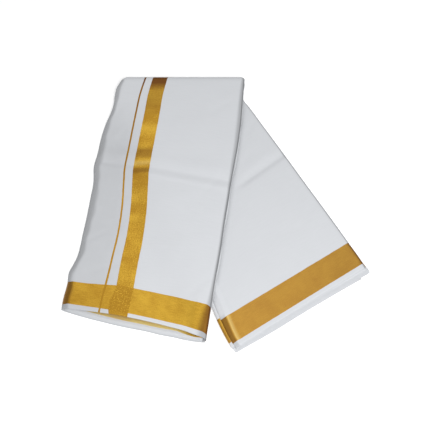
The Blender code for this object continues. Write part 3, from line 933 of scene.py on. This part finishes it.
def half_leaf(strip, downs, height, right_roll, depth, columns, left_degrees, right_degrees):
    """Across and height of a leaf of the back half, rolled down at its left and at its right."""
    width = strip.width(downs)
    ridge = strip.at(downs, "ridge")
    flat = np.full_like(width, 1.0)[:, None]
    rise = depth / 2
    reach = ridge[:, None]
    left_across, left_height = elliptic_roll(reach, reach, -rise, rise, left_degrees[None, :])
    middle_across = paths_between(ridge, width - right_roll, columns)
    roll_centre = (width - right_roll)[:, None]
    right_across, right_height = elliptic_roll(
        roll_centre, right_roll, -rise, rise, right_degrees[None, :]
    )
    across = np.hstack([left_across, middle_across, right_across])
    drop = np.hstack([left_height * flat, np.zeros_like(middle_across), right_height * flat])
    return across, height + drop


BACK_SWELL = 0.7  # the back half's swells, against the front half's


def beside_front(x, y):
    """How far to the right of the front half's right edge a place lies."""
    return x - np.interp(y, front.table[::-1, 3], front.table[::-1, 2])


def back_relief(x, y):
    """Creases and swells of the back half, where it lies clear of the front half."""
    relief = crease_offset(x, y, BACK_CREASES) + BACK_SWELL * swell_offset(y, x)
    creasing = bpy.context.scene.dhoti_sizes.creasing
    return relief * creasing * smooth_step((beside_front(x, y) - 0.005) / 0.03)


class DHOTI_OT_back_leaves(bpy.types.Operator):
    """Make the back half's top leaf and the leaf that peeps out from beneath it"""

    bl_idname = "dhoti.back_leaves"
    bl_label = "Back leaves"

    ROWS, SECOND_ROWS = 150, 40
    COLUMNS, SECOND_COLUMNS = 66, 50
    LEFT_DEGREES = np.linspace(200, 90, 13)[:-1]
    RIGHT_DEGREES = np.linspace(90, 0, 8)[1:]
    TOP_HEIGHT = 0.0115
    RIDGE_RISE = 0.0012  # how far the left fold's ridge stands up
    RIDGE_WIDTH = 0.004
    RIDGE_FROM, RIDGE_OVER = 0.40, 0.10  # where down the leaf the ridge starts, and over what length
    ROLL_CALM = 0.003  # height below the top over which creases and swells die away in the folds
    SECOND_DROP = 0.0030  # how far the second leaf sinks beside the top leaf's left fold
    SECOND_DROP_END, SECOND_DROP_OVER = 0.020, 0.010

    # Painted shade on the top leaf: at its left fold, most in the last stretch before the lip, and at its
    # right fold; a painted shadow in a strip beside the front half; and everywhere it is a little darker.
    LEFT_WEAR, LEFT_WEAR_IN, LEFT_WEAR_SOFT = 0.75, 0.001, 0.004
    UPPER_SHARE, LAST_STRETCH, LAST_STRETCH_SOFT = 0.35, 0.078, 0.008
    RIGHT_WEAR, RIGHT_WEAR_IN = 1.1, 0.002
    BESIDE_WEAR, BESIDE_REACH, BESIDE_SOFT = 0.52, 0.016, 0.012
    LEAST_WEAR = 0.20
    POLISH_IN, POLISH_WIDTH = 0.002, 0.0032  # a painted highlight on the ridge, just inside its highest line
    # Painted shade on the second leaf's left fold.
    SECOND_WEAR, SECOND_WEAR_SOFT = 0.3, 0.004

    def make_sheet(self, name, points, cloth, turned, wall):
        """The grids run from the left fold to the right one, so they are turned over to face up."""
        grids = [grid[:, ::-1] for grid in (points, cloth, turned)]
        return cloth_grid(name, *grids, wall, cotton_with_zari())

    def make_top(self, wall):
        downs = np.linspace(0.0, back.length, self.ROWS)
        down = downs[:, None]
        ridge = back.at(down, "ridge")
        across, height = half_leaf(
            back, downs, self.TOP_HEIGHT, BACK_ROLL, BACK_DEPTH, self.COLUMNS,
            self.LEFT_DEGREES, self.RIGHT_DEGREES,
        )
        x, y = back.plan(down, across)
        ridge_shape = np.exp(-((across - ridge) / self.RIDGE_WIDTH) ** 2)
        lower_part = smooth_step((down - self.RIDGE_FROM) / self.RIDGE_OVER)
        flat_part = smooth_step((height - self.TOP_HEIGHT + self.ROLL_CALM) / self.ROLL_CALM)
        z = height + self.RIDGE_RISE * ridge_shape * lower_part + back_relief(x, y) * flat_part
        points = np.stack([x, y, z], axis=-1)
        cloth = np.stack([BACK_U + across, back.from_lip(down, across, BACK_BORDER_RISE)], axis=-1)
        last_stretch = smooth_step((down - back.length + self.LAST_STRETCH) / self.LAST_STRETCH_SOFT)
        left_wear = self.LEFT_WEAR * (self.UPPER_SHARE + (1 - self.UPPER_SHARE) * last_stretch)
        left = left_wear * smooth_step((ridge - self.LEFT_WEAR_IN - across) / self.LEFT_WEAR_SOFT)
        right_end = (back.width(downs) - BACK_ROLL)[:, None]
        right = self.RIGHT_WEAR * smooth_step((across - right_end + self.RIGHT_WEAR_IN) / BACK_ROLL)
        # Painted shadow of the front half on the strip beside it.
        beside = smooth_step((self.BESIDE_REACH - beside_front(x, y)) / self.BESIDE_SOFT)
        turned = np.maximum(np.maximum(left, right), self.BESIDE_WEAR * beside)
        turned = np.maximum(turned, self.LEAST_WEAR)
        polished = np.exp(-((across - ridge - self.POLISH_IN) / self.POLISH_WIDTH) ** 2)
        turned = turned - polished * lower_part
        piece = self.make_sheet("back_sheet", points, cloth, turned, wall)
        finish_piece(piece, "back_leaf")

    def make_second(self, wall):
        downs = np.linspace(0.0, second_back.length, self.SECOND_ROWS)
        down = downs[:, None]
        across, height = half_leaf(
            second_back, downs, SECOND_HEIGHT, SECOND_ROLL, SECOND_DEPTH, self.SECOND_COLUMNS,
            self.LEFT_DEGREES, self.RIGHT_DEGREES,
        )
        sunk = smooth_step((self.SECOND_DROP_END - across) / self.SECOND_DROP_OVER)
        x, y = second_back.plan(down, across)
        points = np.stack([x, y, height - self.SECOND_DROP * sunk], axis=-1)
        v = second_back.from_lip(down, across, BACK_BORDER_RISE)
        cloth = np.stack([BACK_U + across, v], axis=-1)
        in_fold = second_back.at(down, "ridge") - across
        turned = self.SECOND_WEAR * smooth_step(in_fold / self.SECOND_WEAR_SOFT)
        piece = self.make_sheet("back_second_sheet", points, cloth, turned, wall)
        finish_piece(piece, "back_second_leaf")

    def execute(self, context):
        self.make_top(context.scene.dhoti_sizes.wall)
        self.make_second(context.scene.dhoti_sizes.wall)
        return {"FINISHED"}


class DHOTI_OT_hidden_leaves(bpy.types.Operator):
    """Make the ten hidden leaves as one sheet, folded to and fro and turned round the top fold"""

    bl_idname = "dhoti.hidden_leaves"
    bl_label = "Hidden leaves"

    FRONT_ROWS = 56
    FOLD_ROWS = 10
    BACK_ROWS = 58
    FLAT_COLUMNS = 27
    BEND_DEGREES = np.linspace(0, 180, 6)[1:-1]
    WALL = 0.00042
    LEAF_WIDTH = 0.28  # of one hidden leaf, for the cloth's own coordinate
    BEND_BULGE = 0.75  # how far a bend stands out, in pitches
    SLIDE = 0.20  # length over which the leaves slide past one another near each lip
    # Lengths over which the insets change from the top fold's to the front half's, and near each lip.
    FOLD_TO_FRONT, FRONT_TO_LIP, BACK_TO_LIP = 0.12, 0.10, 0.016
    RECESS_WOBBLE = 0.22  # share by which the ends inside the front half's lip wander
    REACH_WOBBLE = 0.0006  # how far the ends at the back half's lip wander
    LOWER_SHARE = 0.9  # how far the first leaf's lip follows that of the outer leaf beneath it
    SETTLE = 0.03  # length below the top fold over which creases and swells grow

    def path(self):
        """Level, share across and bulge of the section's path: leaf after leaf, joined by bends."""
        level, share, bulge = [], [], []
        for leaf in range(HIDDEN):
            to_left = leaf % 2 == 0
            start, end = (1.0, 0.0) if to_left else (0.0, 1.0)
            level += [leaf] * self.FLAT_COLUMNS
            share += list(np.linspace(start, end, self.FLAT_COLUMNS))
            bulge += [0.0] * self.FLAT_COLUMNS
            if leaf == HIDDEN - 1:
                break
            for degrees in self.BEND_DEGREES:
                angle = math.radians(degrees)
                level.append(leaf + 0.5 - 0.5 * math.cos(angle))
                share.append(0.0 if to_left else 1.0)
                bulge.append(math.sin(angle) * (-1 if to_left else 1))
        return np.array(level), np.array(share), np.array(bulge)

    def wave_at(self, level, run):
        """How far each fold wanders to and fro on its way down the strip."""
        phase = level * 2.3
        long_wave = 0.0009 * np.sin(run * 2 * math.pi / 0.137 + phase)
        return long_wave + 0.0006 * np.sin(run * 2 * math.pi / 0.061 + phase * 1.7)

    def across_at(self, width, down, left_insets, right_insets, free_inset=FREE_END_INSET):
        """Distances across: insets vary from fold to fold, and the two free ends stand inside."""
        level, share, bulge = self.path()
        fold_levels = np.arange(len(left_insets)) * 2 + 0.5
        left = np.interp(level, fold_levels, left_insets)
        right_levels = [0.0, *(np.arange(len(right_insets)) * 2 + 1.5), HIDDEN - 1]
        right = np.interp(level, right_levels, [free_inset, *right_insets, FREE_END_INSET])
        wave = self.wave_at(level, down)
        left = left + wave
        right = right + wave
        return left + (width - left - right) * share + bulge * HIDDEN_PITCH * self.BEND_BULGE

    def front_part(self, level, share, height, creasing):
        """Points, and distances along the cloth, from the front half's lip up to the fold."""
        downs = np.linspace(front.length, 0.0, self.FRONT_ROWS)[:, None]
        recess = np.interp(level, np.arange(HIDDEN), FRONT_RECESS)
        recess = recess * (1 + self.RECESS_WOBBLE * np.sin(share * 7.0 + level * 1.9))
        down = downs - recess * front.near_lip(downs, self.SLIDE)
        width = front.width(down)
        near_fold = self.across_at(width, down, FRONT_LEFT_INSETS, FOLD_RIGHT_INSETS)
        away = self.across_at(width, down, FRONT_LEFT_INSETS, FRONT_RIGHT_INSETS)
        by_lip = self.across_at(width, down, FRONT_LEFT_INSETS, FRONT_LIP_INSETS, FRONT_FREE_INSET)
        across = mix(near_fold, away, smooth_step(down / self.FOLD_TO_FRONT))
        across = mix(across, by_lip, front.near_lip(down, self.FRONT_TO_LIP))
        first_leaf = np.clip(1 - level, 0.0, 1.0)
        out = self.LOWER_SHARE * lower_lip(share) * first_leaf * front.near_lip(down, LIP_SLIDE)
        x, y = front.plan(down, across, out)
        relief = (crease_offset(x, y, FRONT_CREASES) + swell_offset(x, y)) * creasing
        height = height + relief * smooth_step(down / self.SETTLE) * level / HIDDEN
        points = np.stack([x, y, ground_under_front(x, y) + height], axis=-1)
        return points, front.from_lip(down, across) + straight_through(LEAF_SLANT, share)

    def fold_part(self, height, v_before):
        """The same round the top fold."""
        turns = np.linspace(0.0, math.pi, self.FOLD_ROWS + 1, endpoint=False)[1:, None]
        turned_share = turns / math.pi
        width = mix(front.width(np.zeros(1))[0], back.width(np.zeros(1))[0], turned_share)
        first = self.across_at(width, 0.0, FRONT_LEFT_INSETS, FOLD_RIGHT_INSETS)
        last = self.across_at(width, 0.0, BACK_LEFT_INSETS, BACK_RIGHT_INSETS)
        left_x = mix(FRONT[0].left_x, BACK[0].left_x, turned_share)
        points = fold_points(turns, mix(first, last, turned_share), height, left_x)
        return points, v_before + turns * (HINGE_R + height)

    def back_part(self, level, share, height):
        """The same down the back half, from the fold to its lip."""
        down = np.linspace(0.0, back.length, self.BACK_ROWS)[:, None]
        reach = np.interp(level, np.arange(HIDDEN), BACK_REACH)
        bowed = 0.72 + 0.28 * smooth_step(share / 0.35) + 0.22 * np.sin(np.pi * share) ** 2
        reach = reach * bowed + RIGHT_REACH * share ** 4 * smooth_step(level / (HIDDEN - 1))
        reach = reach + self.REACH_WOBBLE * np.sin(share * 9.0 + level * 2.1)
        width = back.width(down)
        across = self.across_at(width, down, BACK_LEFT_INSETS, BACK_RIGHT_INSETS)
        by_lip = self.across_at(width, down, BACK_LEFT_INSETS, BACK_LIP_INSETS)
        across = mix(across, by_lip, back.near_lip(down, self.BACK_TO_LIP))
        x, y = back.plan(down, across, reach * back.near_lip(down, self.SLIDE))
        relief = back_relief(x, y) * (1 - height / INNER)
        return np.stack([x, y, INNER - height + relief], axis=-1), back.from_lip(down, across)

    def wear(self, level, share):
        """Painted shade on the edges that show, weaker outside the front half, and a painted highlight on
        the first leaf's edge in the front half that turns to painted shade at its right end.
        """
        handled = (0.5 + 0.16 * np.sin(level * 2.6)) * np.clip(level, 0.0, 1.0)
        rubbed = np.clip(1.0 - level, 0.0, 1.0) * (1.0 - 1.3 * smooth_step((share - 0.78) / 0.18))
        elsewhere = np.zeros((self.FOLD_ROWS + self.BACK_ROWS, 1))
        in_front = np.vstack([np.ones((self.FRONT_ROWS, 1)), elsewhere])
        return mix(0.45 * handled, handled - rubbed, in_front)

    def execute(self, context):
        level, share, _ = self.path()
        height = HIDDEN_FIRST + level * HIDDEN_PITCH
        creasing = context.scene.dhoti_sizes.creasing
        front_points, front_v = self.front_part(level, share, height, creasing)
        fold, fold_v = self.fold_part(height, front_v[-1])
        back_points, back_v = self.back_part(level, share, height)
        points = np.concatenate([front_points, fold, back_points])
        steps = np.hypot(np.diff(share) * self.LEAF_WIDTH, np.diff(height))
        run = np.cumsum(np.concatenate([[0.0], steps]))
        u = np.broadcast_to(BACK_U + run, points.shape[:2])
        cloth = np.stack([u, np.vstack([front_v, fold_v, back_v])], axis=-1)
        turned = self.wear(level, share)
        piece = cloth_grid("hidden_leaves", points, cloth, turned, self.WALL, cotton_with_zari())
        finish_piece(piece, "inner_leaves")
        return {"FINISHED"}


class DHOTI_OT_stage(bpy.types.Operator):
    """Set the pale floor, the soft studio light and the camera"""

    bl_idname = "dhoti.stage"
    bl_label = "Stage"

    def area_light(self, name, place, aim, size, power):
        data = bpy.data.lights.new(name, "AREA")
        data.shape = "DISK"
        data.size = size
        data.energy = power
        lamp = bpy.data.objects.new(name, data)
        bpy.context.scene.collection.objects.link(lamp)
        lamp.location = place
        direction = np.array(aim, float) - np.array(place, float)
        lamp.rotation_euler = look_rotation(direction)

    def execute(self, context):
        scene = context.scene
        bpy.ops.object.select_all(action="DESELECT")
        bpy.ops.mesh.primitive_plane_add(size=FLOOR_SIZE, location=(0, 0, -FLOOR_DROP))
        floor = context.object
        floor.name = "floor"
        bpy.ops.object.transform_apply(location=True)
        floor.data.materials.append(pale_floor())

        world = bpy.data.worlds.new("soft_room")
        world.use_nodes = True
        background = world.node_tree.nodes["Background"]
        background.inputs["Color"].default_value = (1.0, 1.0, 1.0, 1.0)
        background.inputs["Strength"].default_value = ROOM_LIGHT
        scene.world = world
        self.area_light("key", (-0.3, 0.9, 1.75), (0, 0, 0), 1.6, 7.0)
        self.area_light("fill", (0.45, -1.15, 1.65), (0, 0, 0), 1.4, 34.0)

        camera_data = bpy.data.cameras.new("camera")
        camera_data.lens = CAMERA_LENS
        camera_data.sensor_width = 36.0
        camera = bpy.data.objects.new("camera", camera_data)
        scene.collection.objects.link(camera)
        back_off = (0.0, -math.cos(CAMERA_ELEVATION), math.sin(CAMERA_ELEVATION))
        camera.location = [aim + CAMERA_DISTANCE * part for aim, part in zip(CAMERA_AIM, back_off)]
        camera.rotation_euler = look_rotation([-part for part in back_off])
        scene.camera = camera
        scene.view_settings.view_transform = "Standard"
        return {"FINISHED"}


def look_rotation(direction):
    return Vector(direction).to_track_quat("-Z", "Y").to_euler()


class DHOTI_PT_panel(bpy.types.Panel):
    """The pieces of the folded dhoti, in the order in which they are made"""

    bl_label = "Folded dhoti"
    bl_idname = "DHOTI_PT_panel"
    bl_space_type = "VIEW_3D"
    bl_region_type = "UI"
    bl_category = "Dhoti"

    def draw(self, context):
        layout = self.layout
        for group in (context.scene.dhoti_sizes, context.scene.dhoti_colours):
            for name in group.__annotations__:
                layout.prop(group, name)
        for operator in OPERATORS:
            layout.operator(operator.bl_idname)


OPERATORS = (DHOTI_OT_hidden_leaves, DHOTI_OT_back_leaves, DHOTI_OT_front_wrap, DHOTI_OT_stage)
CLASSES = (DhotiSizes, DhotiColours, *OPERATORS, DHOTI_PT_panel)


def register():
    for cls in CLASSES:
        bpy.utils.register_class(cls)
    bpy.types.Scene.dhoti_sizes = PointerProperty(type=DhotiSizes)
    bpy.types.Scene.dhoti_colours = PointerProperty(type=DhotiColours)


def unregister():
    del bpy.types.Scene.dhoti_colours
    del bpy.types.Scene.dhoti_sizes
    for cls in reversed(CLASSES):
        bpy.utils.unregister_class(cls)


def main():
    register()
    bpy.ops.dhoti.hidden_leaves()
    bpy.ops.dhoti.back_leaves()
    bpy.ops.dhoti.front_wrap()
    bpy.ops.dhoti.stage()


if __name__ == "__main__":
    main()
